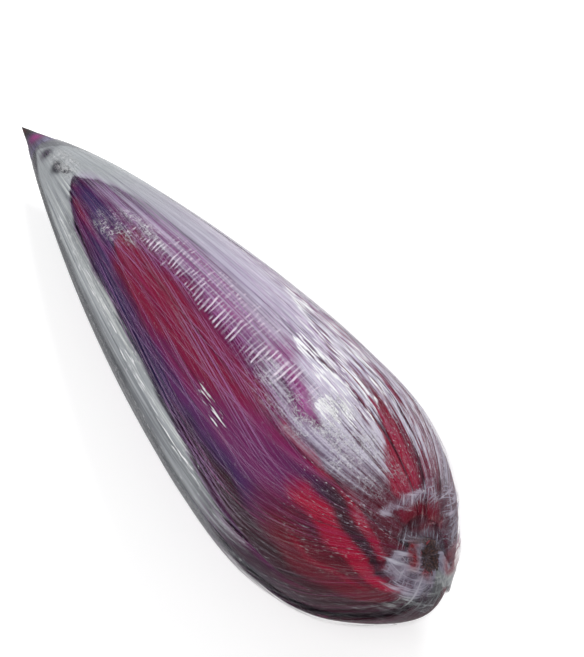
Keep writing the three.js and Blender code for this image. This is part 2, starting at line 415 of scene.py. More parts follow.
def half_width(halves, way):
    """A power of a sine from the point to the belly, then an easy change to the foot's width."""
    belly, foot = halves
    opened = np.sin(np.minimum(way / 0.42, 1) * np.pi / 2) ** 0.55
    return POINT_HALF_WIDTH + (belly - POINT_HALF_WIDTH) * opened + (foot - belly) * smooth(0.5, 1, way)


def strip(share, turn, path, edge):
    """A lengthwise strip. The path gives a share, the turns in degrees that the strip lies between
    and its strength, straight in between, and its sides fade over the edge's degrees."""
    shares, lows, highs, strengths = np.array(path).T
    low, high = np.interp(share, shares, lows), np.interp(share, shares, highs)
    away = np.abs((np.degrees(turn) - (low + high) / 2 + 180) % 360 - 180)
    inside = smooth(-edge / 2, edge / 2, (high - low) / 2 - away)
    return inside * np.interp(share, shares, strengths, 0, 0)


def strips(share, turn, paths, edge):
    """The strongest of several strips."""
    return np.max([strip(share, turn, path, edge) for path in paths], axis=0)


def wander(share, turn, reach):
    """The same places, moved about by roughly a reach in shares: three slow sines and three quick
    ones that cross each other, so that a strip's edge runs unevenly, as on a grown thing."""
    slow = np.sin(37 * share + 3 * turn) + np.sin(61 * share - 5 * turn + 1)
    slow = slow + np.sin(23 * share + 7 * turn + 2)
    quick = np.sin(151 * share + 11 * turn) + np.sin(97 * share - 17 * turn + 4)
    quick = quick + np.sin(29 * turn + 83 * share)
    return share + reach * (slow + 0.5 * quick) / 3, turn + 7 * reach * (slow - 0.5 * quick) / 3


# Where a bract has each colour. A row is one strip, and each point of it gives a share, the two
# turns in degrees that it lies between, and its strength there.
WINE = [
    [(0.328, -18, -13, 0), (0.335, -30, -6, 0.9), (0.36, -36, -6, 1), (0.4, -38, -7, 1),
     (0.5, -38, -8, 1), (0.6, -36, -8, 0.95), (0.66, -33, -8, 0.9), (0.72, -27, -9, 0.5),
     (0.78, -30, -10, 0.3), (0.82, -30, -12, 0)],
    [(0.2, -32, -28, 0), (0.215, -36, -25, 1), (0.25, -38, -28, 1), (0.28, -37, -31, 0.3),
     (0.3, -35, -33, 0)],
    [(0.5, 24, 90, 0), (0.6, 16, 90, 0.8), (0.7, 6, 84, 1), (0.8, -8, 80, 1), (0.88, -24, 60, 1),
     (0.93, -24, 50, 0.7)],
]
MAGENTA = [
    [(0.3, 4, 12, 0), (0.35, 4, 34, 0.8), (0.45, 4, 36, 1), (0.55, 2, 34, 1), (0.6, 2, 30, 0.9),
     (0.66, 0, 16, 0.9), (0.7, -6, 8, 1), (0.74, -3, 6, 1), (0.76, 0, 2, 0)],
    [(0.28, 50, 80, 0), (0.36, 45, 80, 0.6), (0.6, 38, 75, 0.7), (0.68, 38, 70, 0)],
]
MAROON = [
    [(0.71, -62, -50, 0), (0.75, -68, -42, 0.8), (0.8, -76, -38, 1), (0.84, -86, -50, 1),
     (0.88, -98, -62, 1), (0.92, -115, -85, 1), (0.94, -130, -95, 0.8), (0.97, -140, -90, 0.3)],
    [(0.78, -20, -6, 0), (0.84, -24, 8, 0.8), (0.88, -32, 12, 1), (0.91, -46, 16, 1), (0.94, -60, 50, 1),
     (0.965, -60, 70, 1), (0.98, -30, 70, 0.5)],
    [(0.86, 46, 60, 0), (0.9, 42, 62, 0.5), (0.93, 60, 150, 0.7), (0.95, 80, 150, 0.8),
     (0.965, 90, 150, 0)],
]
SCARLET = [
    [(0.76, -31, -26, 0), (0.8, -38, -28, 0.9), (0.84, -47, -36, 1), (0.88, -60, -47, 1),
     (0.91, -80, -63, 1), (0.93, -99, -84, 1), (0.942, -104, -94, 0.4), (0.95, -100, -97, 0)],
    [(0.8, -52, -50, 0), (0.83, -60, -58, 0.5), (0.87, -73, -70, 0.6), (0.9, -87, -84, 0.4),
     (0.91, -90, -88, 0)],
    [(0.82, -22, -16, 0), (0.85, -26, -18, 0.7), (0.88, -34, -23, 0.85), (0.9, -43, -31, 0.9),
     (0.92, -58, -46, 0.9), (0.938, -72, -60, 0)],
    [(0.7, -14, -12, 0), (0.715, -15.5, -12.5, 1), (0.77, -18, -14, 1), (0.82, -20, -17, 0.7),
     (0.83, -19, -18, 0)],
    [(0.59, 32, 34, 0), (0.62, 31, 36, 0.8), (0.67, 32, 38, 0.8), (0.72, 28, 38, 0.9), (0.77, 22, 40, 1),
     (0.82, 16, 42, 1), (0.87, 10, 43, 1), (0.9, 4, 42, 1), (0.915, 5, 36, 0.6), (0.925, 12, 20, 0)],
    [(0.55, 38, 80, 0), (0.65, 38, 84, 0.45), (0.85, 44, 70, 0.45), (0.9, 44, 60, 0)],
    [(0.925, 0, 60, 0), (0.935, -6, 66, 0.35), (0.955, -8, 70, 0.35), (0.965, 0, 60, 0)],
    [(0.955, -100, -60, 0), (0.965, -105, -60, 0.9), (0.975, -110, -70, 0.9), (0.985, -100, -80, 0)],
]
# Dark bands: the first row is painted shade along the lower left side, which turns from the light; the
# other two are the bracts' own dark margin and band.
DARK_BANDS_AND_SHADE = [
    [(0.5, -180, -90, 0), (0.6, -180, -84, 0.5), (0.7, -180, -76, 0.7), (0.8, -180, -86, 0.8),
     (0.9, -180, -104, 0.8), (0.96, -180, -110, 0.8)],
    [(0.55, -62, -54, 0), (0.62, -64, -50, 0.9), (0.7, -68, -50, 1), (0.75, -72, -56, 1),
     (0.8, -84, -64, 0.9), (0.86, -100, -84, 0.8), (0.9, -120, -100, 0.8), (0.94, -150, -110, 0.8)],
    [(0.79, -27, -21, 0), (0.83, -32, -23, 0.8), (0.87, -44, -34, 0.8), (0.9, -56, -45, 0.8),
     (0.92, -72, -59, 0.8), (0.935, -82, -72, 0)],
]
VIOLET = [
    [(0.58, -46, -30, 0), (0.64, -46, -24, 0.6), (0.7, -46, -20, 0.9), (0.76, -50, -26, 0.9),
     (0.82, -46, -34, 0)],
]
INDIGO = [
    [(0.19, -30, -14, 0), (0.22, -26, -6, 0.8), (0.26, -24, -8, 0.9), (0.3, -26, -12, 0.7),
     (0.33, -26, -14, 0)],
    [(0.28, -52, -36, 0), (0.33, -56, -38, 0.8), (0.4, -68, -42, 0.9), (0.5, -62, -46, 0.9),
     (0.6, -62, -46, 0.8), (0.68, -64, -42, 0.7), (0.74, -66, -42, 0.5), (0.8, -60, -48, 0)],
]
BRACT_COLOURS = {  # painted over the skin in this order
    "wine": "780c34", "magenta": "b04c98", "violet": "6c2458", "maroon": "5c0c20",
    "indigo": "2e2454", "dark_and_shade": "2a0e1a", "scarlet": "9c002e",
}


def bract_tints(share, turn):
    """How far each place has turned each colour, from the strips above."""
    share, turn = wander(share, turn, 0.006)
    return {
        "foot": smooth(0.76, 0.86, share),
        "wine": strips(share, turn, WINE, 18),
        "magenta": strips(share, turn, MAGENTA, 14),
        "violet": strips(share, turn, VIOLET, 16),
        "maroon": strips(share, turn, MAROON, 18),
        "indigo": strips(share, turn, INDIGO, 16),
        "dark_and_shade": strips(share, turn, DARK_BANDS_AND_SHADE, 10),
        "scarlet": strips(share, turn, SCARLET, 5),
    }


bract_finish = Finish("bract skin")
veins = bract_finish.noise(70, 0.7, detail=3.0)
bands = bract_finish.noise(90, 5, detail=3.0, shift=3.1)
grain = bract_finish.noise(4, 3, detail=3.0, shift=7.7)
uneven = 0.45 + 1.1 * bands
skin = bract_finish.mix(bands.fade(0.38, 0.62), colour("3a0e4c"), colour("641856"))
foot_skin = bract_finish.mix(bands.fade(0.38, 0.62), colour("300a18"), colour("64142a"))
skin = bract_finish.mix(bract_finish.tint("foot"), skin, foot_skin)
for key, paint in BRACT_COLOURS.items():
    skin = bract_finish.mix((bract_finish.tint(key) * uneven).least(1.0), skin, colour(paint))
skin = bract_finish.mix(veins.fade(0.55, 0.72) * 0.25, skin, colour("b05088"))
skin = bract_finish.mix(veins.fade(0.45, 0.3) * 0.5, skin, colour("1e0818"))
skin = bract_finish.mix(grain.fade(0.55, 0.8) * 0.3, skin, colour("1e0818"))
bract_finish.surface({
    "Base Color": skin,
    "Roughness": 0.35 + 0.3 * grain,
    "Specular IOR Level": 0.1,
    "Normal": bract_finish.bump(veins, 0.2),
})

# One ring of a bract runs over its outer face and back over its inner one. A flat cap closes each end.
side = np.linspace(-1, 1, BRACT_COLUMNS + 1)
across = np.concatenate([side, side[::-1]])[None, :]
is_inner = np.concatenate([0 * side, 0 * side + 1])[None, :]
loop = across.shape[1]
ends = np.arange(BRACT_COLUMNS)
cap = np.stack([ends, ends + 1, loop - 2 - ends, loop - 1 - ends], axis=-1)
last_cap = cap[:, ::-1] + (BRACT_RINGS - 1) * loop
bract_faces = ring_faces(BRACT_RINGS, loop) + cap.tolist() + last_cap.tolist()

for name, (layer, starts, turns, halves) in BRACTS.items():
    way = (np.linspace(0, 1, BRACT_RINGS) ** 1.25)[:, None]
    share = starts + (FOOT_SHARES[layer] - starts) * way
    turn = np.radians(middle_turn(turns, way) + across * half_width(halves, way))
    fullness = np.sqrt(1 - across**4) * smooth(0, 0.12, way)
    thickness = BRACT_THIN + (thickness_at(share) - BRACT_THIN) * fullness
    share = share + 0 * across
    depth = layer_depth(layer, share) + is_inner * thickness
    share, turn, depth = share.ravel(), turn.ravel(), depth.ravel()
    bract = add_skin(
        name + "_scale", name, share, turn, depth, bract_faces, bract_finish, bract_tints(share, turn)
    )


# ---- Cut stem ----------------------------------------------------------------------------------
# What is left of the flower stalk: a short, brown, fibrous stub, cut off square and dried to a
# hollow at its heart. It grew out of the bud, and the film runs over its cut face.
STEM_RADIUS = 7.2
STEM_RECESS = 1.4
STEM_RINGS, STEM_COLUMNS = 40, 72
STEM_REACHES = (0, 0.1, 0.5, 0.6, 1)  # foot, lower side, upper side, rim and heart of the cut face
STEM_RADII = (STEM_RADIUS - 1.2, STEM_RADIUS - 0.4, STEM_RADIUS - 0.7, STEM_RADIUS - 1.4, 0)
STEM_HEIGHTS = (0.3, 1.1, STEM_LENGTH - 0.6, STEM_LENGTH - 0.1, STEM_LENGTH - 2.6)

stem_top = on_bud(np.ones(1), np.zeros(1), np.full(1, FILM_THICKNESS + STEM_RECESS))[0]
stem_foot = on_bud(np.ones(1), np.zeros(1), np.full(1, FILM_THICKNESS + STEM_RECESS + STEM_LENGTH))[0]
stem_up = (stem_top - stem_foot) / np.linalg.norm(stem_top - stem_foot)
stem_side = np.cross(stem_up, (0, 0, 1))
stem_side = stem_side / np.linalg.norm(stem_side)
stem_across = np.cross(stem_up, stem_side)


def stem_point(reach, round_turn):
    """A profile turned about the stem's line: up the side, over a worn rim and down into a hollow
    on the cut face. Fibres make the radius and the face ripple with the turn."""
    ripple = 0.2 * np.cos(17 * round_turn) + 0.15 * np.cos(41 * round_turn + 1)
    on_side = smooth(0, 0.2, reach) * (1 - smooth(0.6, 0.9, reach))
    on_face = smooth(0.6, 0.7, reach) * (1 - smooth(0.8, 1, reach))
    radius = (np.interp(reach, STEM_REACHES, STEM_RADII) + ripple * on_side) / 1000
    height = (np.interp(reach, STEM_REACHES, STEM_HEIGHTS) + 1.5 * ripple * on_face) / 1000
    sideways = np.cos(round_turn)[..., None] * stem_side + np.sin(round_turn)[..., None] * stem_across
    return stem_foot + height[..., None] * stem_up + radius[..., None] * sideways


def solid_noise(finish, size, detail=2.0):
    """Noise over the real place, alike in all directions, in millimetres."""
    place = finish.node("ShaderNodeTexCoord", {}, {}, 3)
    sockets = {"Vector": place, "Scale": 1000 / size, "Detail": detail}
    return finish.node("ShaderNodeTexNoise", {}, sockets)


stem_reach = np.linspace(0, 0.985, STEM_RINGS)
stem_round = np.linspace(0, 2 * np.pi, STEM_COLUMNS, endpoint=False)
reach, round_turn = np.meshgrid(stem_reach, stem_round, indexing="ij")
stem_poles = [stem_foot + height / 1000 * stem_up for height in (STEM_HEIGHTS[0], STEM_HEIGHTS[-1])]
stem_points = np.vstack([stem_point(reach, round_turn).reshape(-1, 3), *stem_poles])
corners = np.arange(STEM_RINGS * STEM_COLUMNS).reshape(STEM_RINGS, STEM_COLUMNS)
stem_faces = [face[::-1] for face in ring_faces(STEM_RINGS, STEM_COLUMNS)]
stem_faces += pole_faces(corners[0], corners.size, False)
stem_faces += pole_faces(corners[-1], corners.size + 1, True)
stem_mesh = bpy.data.meshes.new("fibrous_stem")
stem_mesh.from_pydata(stem_points.tolist(), [], stem_faces)
stem_mesh.shade_smooth()

stem_finish = Finish("dry stem")
fibre = solid_noise(stem_finish, 0.7, detail=3.0)
stain = solid_noise(stem_finish, 2.9)
bark = stem_finish.mix(fibre.fade(0.4, 0.65), colour("24120e"), colour("5a3626"))
bark = stem_finish.mix(stain.fade(0.6, 0.75) * 0.8, bark, colour("a01a2c"))
stem_finish.surface({
    "Base Color": bark,
    "Roughness": 0.75,
    "Normal": stem_finish.bump(fibre, 0.4),
})
stem_mesh.materials.append(stem_finish.material)
stem_stub = bpy.data.objects.new("fibrous_stem", stem_mesh)
bpy.context.scene.collection.objects.link(stem_stub)
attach(stem_stub, "root")
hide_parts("stem_stub")


# ---- Stretch film ------------------------------------------------------------------------------
# Clear food film, a few turns of it, stretched by hand round the whole blossom and gathered over the
# stem. Where it clings it is clear, where it spans between bracts it is milky, and it holds by its own
# cling, with fine pull lines along it and small crinkles where it was squeezed. Its colour also carries
# painted light: the pale bands and the white streaks on the right stand partly for reflections of the
# bright room, and it has painted highlights, painted glints and painted shade.
FILM_RINGS, FILM_COLUMNS = 370, 264
FILM_END_RINGS = 40
FILM_SINK = 0.5
FILM_FOLD = 0.06
PUCKER_COUNT = 8

# Where the film spans: silvery and opaque, then veiled and letting the bracts show through; the pale grey
# of these bands is partly painted reflection of the bright room. MAUVE tints either with what lies under
# it, and CLEARED lists clear slits in both.
MILKY_SHEEN = [
    [(0.085, -34, -8, 0), (0.1, -48, 14, 0.7), (0.12, -60, 34, 1), (0.14, -70, 48, 1),
     (0.17, -180, 180, 1), (0.18, -180, 180, 1), (0.19, -180, 180, 0)],
    [(0.069, -180, 180, 0.5), (0.08, -180, 180, 0.75), (0.17, -180, 180, 0.9), (0.18, -180, 180, 0)],
    [(0.18, -180, -12, 1), (0.195, -170, -22, 1), (0.21, -150, -31, 1), (0.25, -140, -40, 1),
     (0.27, -138, -44, 1), (0.34, -136, -50, 1), (0.385, -134, -50, 1), (0.45, -133, -51, 1),
     (0.535, -133, -55, 1), (0.6, -133, -58, 1), (0.65, -132, -62, 0.9), (0.7, -131, -66, 0.6),
     (0.76, -130, -72, 0.4), (0.86, -130, -95, 0.25), (0.95, -130, -105, 0.3), (0.97, -130, -105, 0)],
    [(0.2, 110, 205, 0.9), (0.3, 125, 190, 0.7), (0.45, 138, 178, 0.6), (0.6, 142, 172, 0.6),
     (0.8, 144, 170, 0.6), (0.95, 148, 168, 0.7), (0.97, 130, 190, 0.8), (0.985, 100, 220, 0.8),
     (0.99, 90, 230, 0)],
]
VEILED_SHEEN = [
    [(0.18, -12, 150, 1), (0.19, -9, 150, 1), (0.203, -3, 140, 1), (0.224, 7, 120, 1), (0.26, 13, 110, 1),
     (0.307, 17, 108, 1), (0.429, 18, 96, 1), (0.54, 16, 90, 0.95), (0.6, 15, 85, 0.85),
     (0.65, 15, 85, 0.7), (0.72, 20, 85, 0.55), (0.8, 25, 85, 0.45), (0.88, 30, 80, 0.4),
     (0.94, 30, 120, 0.35), (0.97, 30, 130, 0)],
    [(0.2, -8, 16, 0.3), (0.25, -6, 22, 0.42), (0.36, 0, 26, 0.55), (0.6, -2, 24, 0.5), (0.7, 0, 18, 0)],
    [(0.6, -6, 20, 0), (0.66, -12, 24, 0.6), (0.72, -14, 28, 0.78), (0.8, -18, 28, 0.68),
     (0.85, -20, 20, 0.5), (0.88, -24, 10, 0.3), (0.9, -24, 0, 0)],
    [(0.9, -22, 24, 0), (0.912, -22, 40, 0.36), (0.922, -14, 70, 0.48), (0.93, -4, 80, 0.36),
     (0.945, 0, 110, 0)],
    [(0.92, -115, -70, 0), (0.94, -140, -50, 0.5), (0.96, -180, -40, 0.6), (0.98, -180, 0, 0.55),
     (0.988, -160, 0, 0)],
    [(0.94, -180, 180, 0), (0.955, -180, 180, 0.3), (0.98, -180, 180, 0.35), (0.99, -180, 180, 0.2),
     (1, -180, 180, 0.15)],
    [(0.9, 80, 130, 0), (0.93, 78, 150, 0.5), (0.96, 90, 170, 0.45), (0.97, 100, 160, 0)],
]
MAUVE = [
    [(0.2, 10, 60, 0), (0.5, -10, 120, 1), (0.9, -60, 120, 1), (1, -180, 180, 1)],
    [(0.18, -16, 0, 0), (0.2, -14, 4, 0.7), (0.25, -14, 12, 1), (0.35, -10, 18, 1), (0.5, -10, 30, 1)],
]
CLEARED = [
    [(0.66, 32, 36, 0), (0.7, 31, 35, 0.7), (0.77, 24, 35, 0.95), (0.82, 18, 37, 1), (0.87, 11, 40, 1),
     (0.9, 6, 38, 1), (0.912, 8, 34, 0.5), (0.92, 12, 20, 0)],
    [(0.7, 21, 22.5, 0), (0.73, 19, 21.5, 0.8), (0.78, 14, 17, 0.8), (0.82, 10, 12, 0)],
    [(0.73, 12, 13, 0), (0.76, 9, 11, 0.7), (0.8, 5, 7.5, 0.7), (0.83, 2, 4, 0)],
    [(0.55, 37, 40, 0), (0.58, 36, 39, 0.7), (0.64, 30, 34, 0.8), (0.69, 25, 28, 0.7), (0.72, 22, 25, 0)],
    [(0.66, 47, 50, 0), (0.72, 42, 46, 0.6), (0.8, 40, 44, 0.6), (0.84, 42, 46, 0)],
    [(0.645, -2, 5, 0), (0.66, -4, 5, 0.9), (0.69, -6, 4, 0.9), (0.72, -7, 2, 0.9), (0.745, -5, 0, 0.7),
     (0.755, -4, -2, 0)],
    [(0.22, 52, 84, 0), (0.3, 48, 82, 0.4), (0.5, 42, 78, 0.45), (0.6, 38, 74, 0.4), (0.68, 38, 70, 0)],
    [(0.84, 42, 52, 0), (0.87, 40, 58, 0.5), (0.91, 40, 62, 0.5), (0.93, 44, 60, 0)],
]
# Broken into streaks, white ones that are partly painted reflection, and stained red round the stem.
STREAKED_SHEEN = [
    [(0.28, 46, 76, 0), (0.36, 40, 76, 0.5), (0.48, 30, 74, 0.7), (0.58, 18, 70, 0.8),
     (0.68, 10, 70, 0.9), (0.78, 4, 66, 1), (0.86, 6, 60, 0.8), (0.92, 20, 60, 0)],
]
BLUSHED = [
    [(0.93, 0, 45, 0), (0.94, -10, 60, 0.9), (0.955, -12, 78, 1), (0.965, 0, 80, 0.8),
     (0.972, 10, 70, 0)],
    [(0.9, 118, 150, 0), (0.94, 118, 150, 0.8), (0.965, 120, 160, 0.8), (0.98, 120, 160, 0)],
]
RED_SPOTS = [  # strength, middle and size of each
    (1.6, (0.968, -50), (0.007, 26)), (1, (0.98, -94), (0.006, 30)),
]
# Crinkled across the pull and crumpled into a net, with painted highlight: fine white patches and streaks
# where the lamps glint on the film.
CRINKLED = [
    [(0.34, -12, -2, 0.6), (0.36, -6, 3, 1), (0.45, -6, 4, 1), (0.55, -8, 4, 1), (0.62, -7, 5, 1),
     (0.66, -4, 8, 1), (0.7, 0, 10, 0.5), (0.72, 4, 8, 0)],
    [(0.36, 2, 12, 0), (0.4, 2, 16, 0.4), (0.6, 2, 16, 0.4), (0.65, 0, 12, 0)],
]
CRUMPLED = [
    [(0.1, -16, 14, 0), (0.12, -24, 16, 0.8), (0.16, -22, 6, 0.9), (0.19, -20, -2, 0.5),
     (0.21, -20, -6, 0)],
    [(0.265, -26, -14, 0), (0.285, -30, -8, 1), (0.315, -28, 4, 1.3), (0.35, -20, 6, 1.3),
     (0.38, -8, 6, 1), (0.42, -4, 4, 0)],
    [(0.6, -10, 4, 0), (0.64, -14, 4, 0.8), (0.68, -15, -4, 1.2), (0.72, -14, 16, 1.2),
     (0.78, -14, 18, 1), (0.84, -16, 16, 0.8), (0.9, -26, 24, 0.8), (0.94, -40, 60, 0.5),
     (0.97, -180, 180, 0.6), (0.98, -180, 180, 0.2)],
    [(0.8, -16, 40, 0), (0.86, -20, 60, 0.35), (0.93, -60, 90, 0.5), (0.97, -180, 180, 0.6)],
    [(0.9, -140, -60, 0), (0.93, -150, -70, 0.6), (0.965, -160, -40, 0.8), (0.98, -180, 180, 0.2)],
]
HIGHLIGHT_PATCHES = [
    [(0.48, 44, 56, 0), (0.54, 36, 56, 0.7), (0.62, 22, 54, 0.85), (0.68, 14, 50, 0.88),
     (0.73, 6, 42, 0.85), (0.78, 2, 30, 0.65), (0.82, 2, 20, 0)],
    [(0.51, 40, 48, 0), (0.53, 40, 54, 1), (0.575, 35, 49, 1), (0.6, 33, 42, 0.7), (0.61, 33, 38, 0)],
    [(0.6, 18, 24, 0), (0.62, 14, 27, 1), (0.67, 11, 26, 1.05), (0.7, 8, 20, 0.95), (0.715, 7, 11, 0)],
    [(0.705, 4, 8, 0), (0.715, 1, 12, 1.15), (0.74, 0, 12, 1.15), (0.76, -1, 8, 0.9), (0.78, -1, 4, 0)],
    [(0.67, 27, 33, 0), (0.69, 25, 34, 1), (0.73, 22, 30, 1.05), (0.76, 18, 25, 1), (0.79, 15, 20, 0.8),
     (0.81, 14, 17, 0)],
    [(0.72, 13, 17, 0), (0.735, 11, 18, 1.1), (0.76, 8, 15, 1.1), (0.785, 5, 11, 0.9), (0.8, 5, 8, 0)],
    [(0.66, 38, 42, 0), (0.7, 37, 42, 0.95), (0.78, 36, 41, 0.9), (0.84, 40, 43, 0)],
    [(0.28, 46, 100, 0), (0.36, 44, 100, 0.55), (0.55, 40, 95, 0.7), (0.7, 44, 85, 0.65),
     (0.86, 46, 76, 0.5), (0.92, 50, 70, 0)],
    [(0.58, -35, -31, 0), (0.6, -38, -28, 0.8), (0.65, -42, -31, 0.8), (0.69, -44, -35, 0.4),
     (0.72, -44, -36, 0)],
    [(0.6, -30, -10, 0), (0.66, -40, -10, 0.35), (0.75, -46, -12, 0.35), (0.9, -70, -30, 0.3)],
    [(0.18, -56, -40, 0), (0.22, -60, -48, 0.8), (0.5, -66, -56, 0.8), (0.65, -70, -62, 0.85),
     (0.74, -76, -70, 0)],
]
# Smooth bands, dark spots where it touches the bud, flecks of painted glint, and painted shade: the
# film's tone darkened to slate where it turns away from the light.
SMOOTH = [(0.15, -15, 60, 1), (0.3, 8, 60, 1), (0.5, 12, 45, 1), (0.62, 12, 32, 0.6), (0.68, 12, 25, 0)]
CONTACTS = [  # middle and size of each spot
    ((0.1, -20), (0.01, 16)), ((0.143, -25), (0.008, 9)), ((0.138, -19), (0.008, 7)),
    ((0.152, -22), (0.006, 6)), ((0.163, -17), (0.007, 4)), ((0.168, -13), (0.004, 3)),
]
# Where flecks of painted glint lie.
GLINT_AREAS = [
    [(0.2, -100, -40, 0.6), (0.6, -90, -56, 1), (0.8, -90, -60, 0.5), (0.9, -120, -100, 0.5)],
    [(0.6, -10, 70, 0), (0.7, -20, 75, 0.5), (0.8, -26, 75, 1), (0.9, -40, 90, 1), (0.96, -60, 100, 0.6)],
    [(0.76, -44, -24, 0), (0.8, -56, -16, 0.5), (0.88, -80, -20, 0.6), (0.93, -100, -40, 0.5),
     (0.95, -100, -60, 0)],
]
# Painted shade: dark slate along the left and right sides, round the stem end and in two narrow strips
# beside the left band.
PAINTED_SHADE = [
    [(0.069, -180, -34, 0.9), (0.1, -180, -54, 0.95), (0.12, -180, -62, 0.92), (0.2, -180, -69, 0.92),
     (0.35, -180, -69, 0.92), (0.47, -180, -71, 0.92), (0.52, -180, -73, 0.92), (0.6, -180, -78, 0.92),
     (0.7, -180, -80, 0.95), (0.78, -180, -76, 1), (0.88, -180, -96, 1), (0.97, -180, -120, 0.7)],
    [(0.5, -72, -68, 0), (0.56, -73, -67, 0.5), (0.64, -72, -65, 0.5), (0.7, -76, -68, 0.6),
     (0.72, -76, -72, 0)],
    [(0.22, -48, -40, 0), (0.25, -50, -42, 0.45), (0.4, -55, -48, 0.4), (0.5, -57, -50, 0.2),
     (0.55, -60, -54, 0)],
    [(0.069, -60, 180, 0.6), (0.085, -20, 180, 0.5), (0.1, 16, 180, 0.5), (0.12, 36, 180, 0.5),
     (0.15, 54, 180, 0.5), (0.18, 62, 180, 0.4), (0.25, 56, 180, 0.45), (0.6, 50, 180, 0.5),
     (0.75, 60, 180, 0.35), (0.97, 90, 180, 0.4)],
    [(0.93, -180, 180, 0), (0.95, -180, 180, 0.3), (0.99, -180, 180, 0.45)],
]


def film_tints(share, turn):
    """How milky, mauve, crinkled and so on the film is at each place, with its painted reflection,
    highlight, glint and shade, from the strips and spots above, how tightly it is pulled, which eases
    towards the stem, and where the stem is near."""
    contacts = np.sum([spot(share, turn, *contact) for contact in CONTACTS], axis=0)
    share, turn = wander(share, turn, 0.003)
    milky_sheen = np.maximum(strips(share, turn, MILKY_SHEEN, 7), strips(share, turn, VEILED_SHEEN, 16))
    cleared = strips(share, turn, CLEARED, 8)
    milky_sheen = milky_sheen * (1 - 0.95 * cleared)
    red = np.sum([strength * spot(share, turn, *place) for strength, *place in RED_SPOTS], axis=0)
    smoothed = np.maximum(1 - smooth(0.15, 0.2, share), strip(share, turn, SMOOTH, 16))
    return {
        "milky_sheen": np.clip(milky_sheen - 0.2 * contacts, 0, 1),
        "mauve": strips(share, turn, MAUVE, 20),
        "crinkled": strips(share, turn, CRINKLED, 8),
        "crumpled": strips(share, turn, CRUMPLED, 12),
        "highlit": strips(share, turn, HIGHLIGHT_PATCHES, 7),
        "shade_and_contact": np.maximum(strips(share, turn, PAINTED_SHADE, 12), np.minimum(contacts, 0.9)),
        "blush": np.clip(strips(share, turn, BLUSHED, 14) + red, 0, 1),
        "streaky": 1 - 0.5 * smoothed,
        "streaked_sheen": strips(share, turn, STREAKED_SHEEN, 16) * (1 - 0.85 * cleared),
        "glinting": strips(share, turn, GLINT_AREAS, 12),
        "taut": 1 - 0.65 * smooth(0.66, 0.84, share),
        "near_stem": smooth(0.88, 0.92, share),
    }


def film_depth(share, turn, tints):
    """The film's gathers round the stem, sunk by its cling where it is not milky, with long low
    folds: cosines of the turn whose phase drifts with the share."""
    gather = -PUCKER_DEPTH * gathered(share) * (1 + np.cos(PUCKER_COUNT * turn)) / 2
    folds = np.cos(23 * turn + 6 * np.sin(5 * share)) + np.cos(41 * turn - 9 * share)
    fade = smooth(FILM_MOUTH, 0.25, share) * (1 - gathered(share))
    sunk = FILM_SINK * (1 - tints["milky_sheen"]) * smooth(0.1, 0.25, share)
    return gather + sunk + FILM_FOLD * fade * (2 + folds)


def strands(finish, length, width, lean, shift):
    """Solid noise drawn out sideways to a length, leaning by an angle from level, in millimetres."""
    place = finish.node("ShaderNodeTexCoord", {}, {}, 3)
    turned = {"Vector": place, "Angle": lean}
    place = finish.node("ShaderNodeVectorRotate", {"rotation_type": "X_AXIS"}, turned)
    scale = {0: place, 1: (1000 / length, 1000 / length, 1000 / width), 2: (shift,) * 3}
    vector = finish.node("ShaderNodeVectorMath", {"operation": "MULTIPLY_ADD"}, scale)
    return finish.node("ShaderNodeTexNoise", {}, {"Vector": vector, "Scale": 1.0, "Detail": 4.0})


def comb(finish, spacing, lean, wobble):
    """Even strokes across the surface, from 0 to 1: a sine along it that leans over and wobbles
    with a noise."""
    rise = (math.tau / spacing, 0, math.tau * lean / spacing)
    sockets = {0: finish.tint("unrolled", 1), 1: rise}
    place = finish.node("ShaderNodeVectorMath", {"operation": "DOT_PRODUCT"}, sockets, 1)
    return finish.node("ShaderNodeMath", {"operation": "SINE"}, {0: place + wobble * 9}) * 0.5 + 0.5


def threads(noise, sharpness):
    """Thin lines where a noise crosses its middle value: 1 on the line, 0 beside it."""
    return (1 - ((noise - 0.5).size() * sharpness).least(1.0)) ** 2.0


long_share = np.linspace(FILM_MOUTH, 0.94, FILM_RINGS - FILM_END_RINGS + 1)
end_share = np.linspace(0.94, 0.996, FILM_END_RINGS)[1:]
film_share = np.concatenate([long_share, end_share])
film_turn = np.linspace(0, 2 * np.pi, FILM_COLUMNS, endpoint=False) - np.pi
share, turn = (grid.ravel() for grid in np.meshgrid(film_share, film_turn, indexing="ij"))
share, turn = np.append(share, 1), np.append(turn, 0)
corners = np.arange(FILM_RINGS * FILM_COLUMNS).reshape(FILM_RINGS, FILM_COLUMNS)
film_faces = ring_faces(FILM_RINGS, FILM_COLUMNS) + pole_faces(corners[-1], corners.size, False)
tints = film_tints(share, turn)

film_finish = Finish("stretch film")
milky_sheen, mauve, shade_and_contact, blush = (film_finish.tint(key) for key in ("milky_sheen", "mauve", "shade_and_contact", "blush"))
crinkled, crumpled, highlit = (film_finish.tint(key) for key in ("crinkled", "crumpled", "highlit"))
streaky, streaked_sheen, glinting = (film_finish.tint(key) for key in ("streaky", "streaked_sheen", "glinting"))
near_stem, taut = film_finish.tint("near_stem"), film_finish.tint("taut")
along = 1 - near_stem

# Fine pull lines that wind slightly round the bud, in two directions.
pull = film_finish.noise(260, 0.4, detail=0.0, twist=1.0).fade(0.52, 0.72)
cross_pull = film_finish.noise(220, 0.4, detail=0.0, shift=2.9, twist=-0.5).fade(0.58, 0.74)
lines = pull.most(cross_pull) * film_finish.noise(30, 4, shift=8.2).fade(0.2, 0.6) * taut

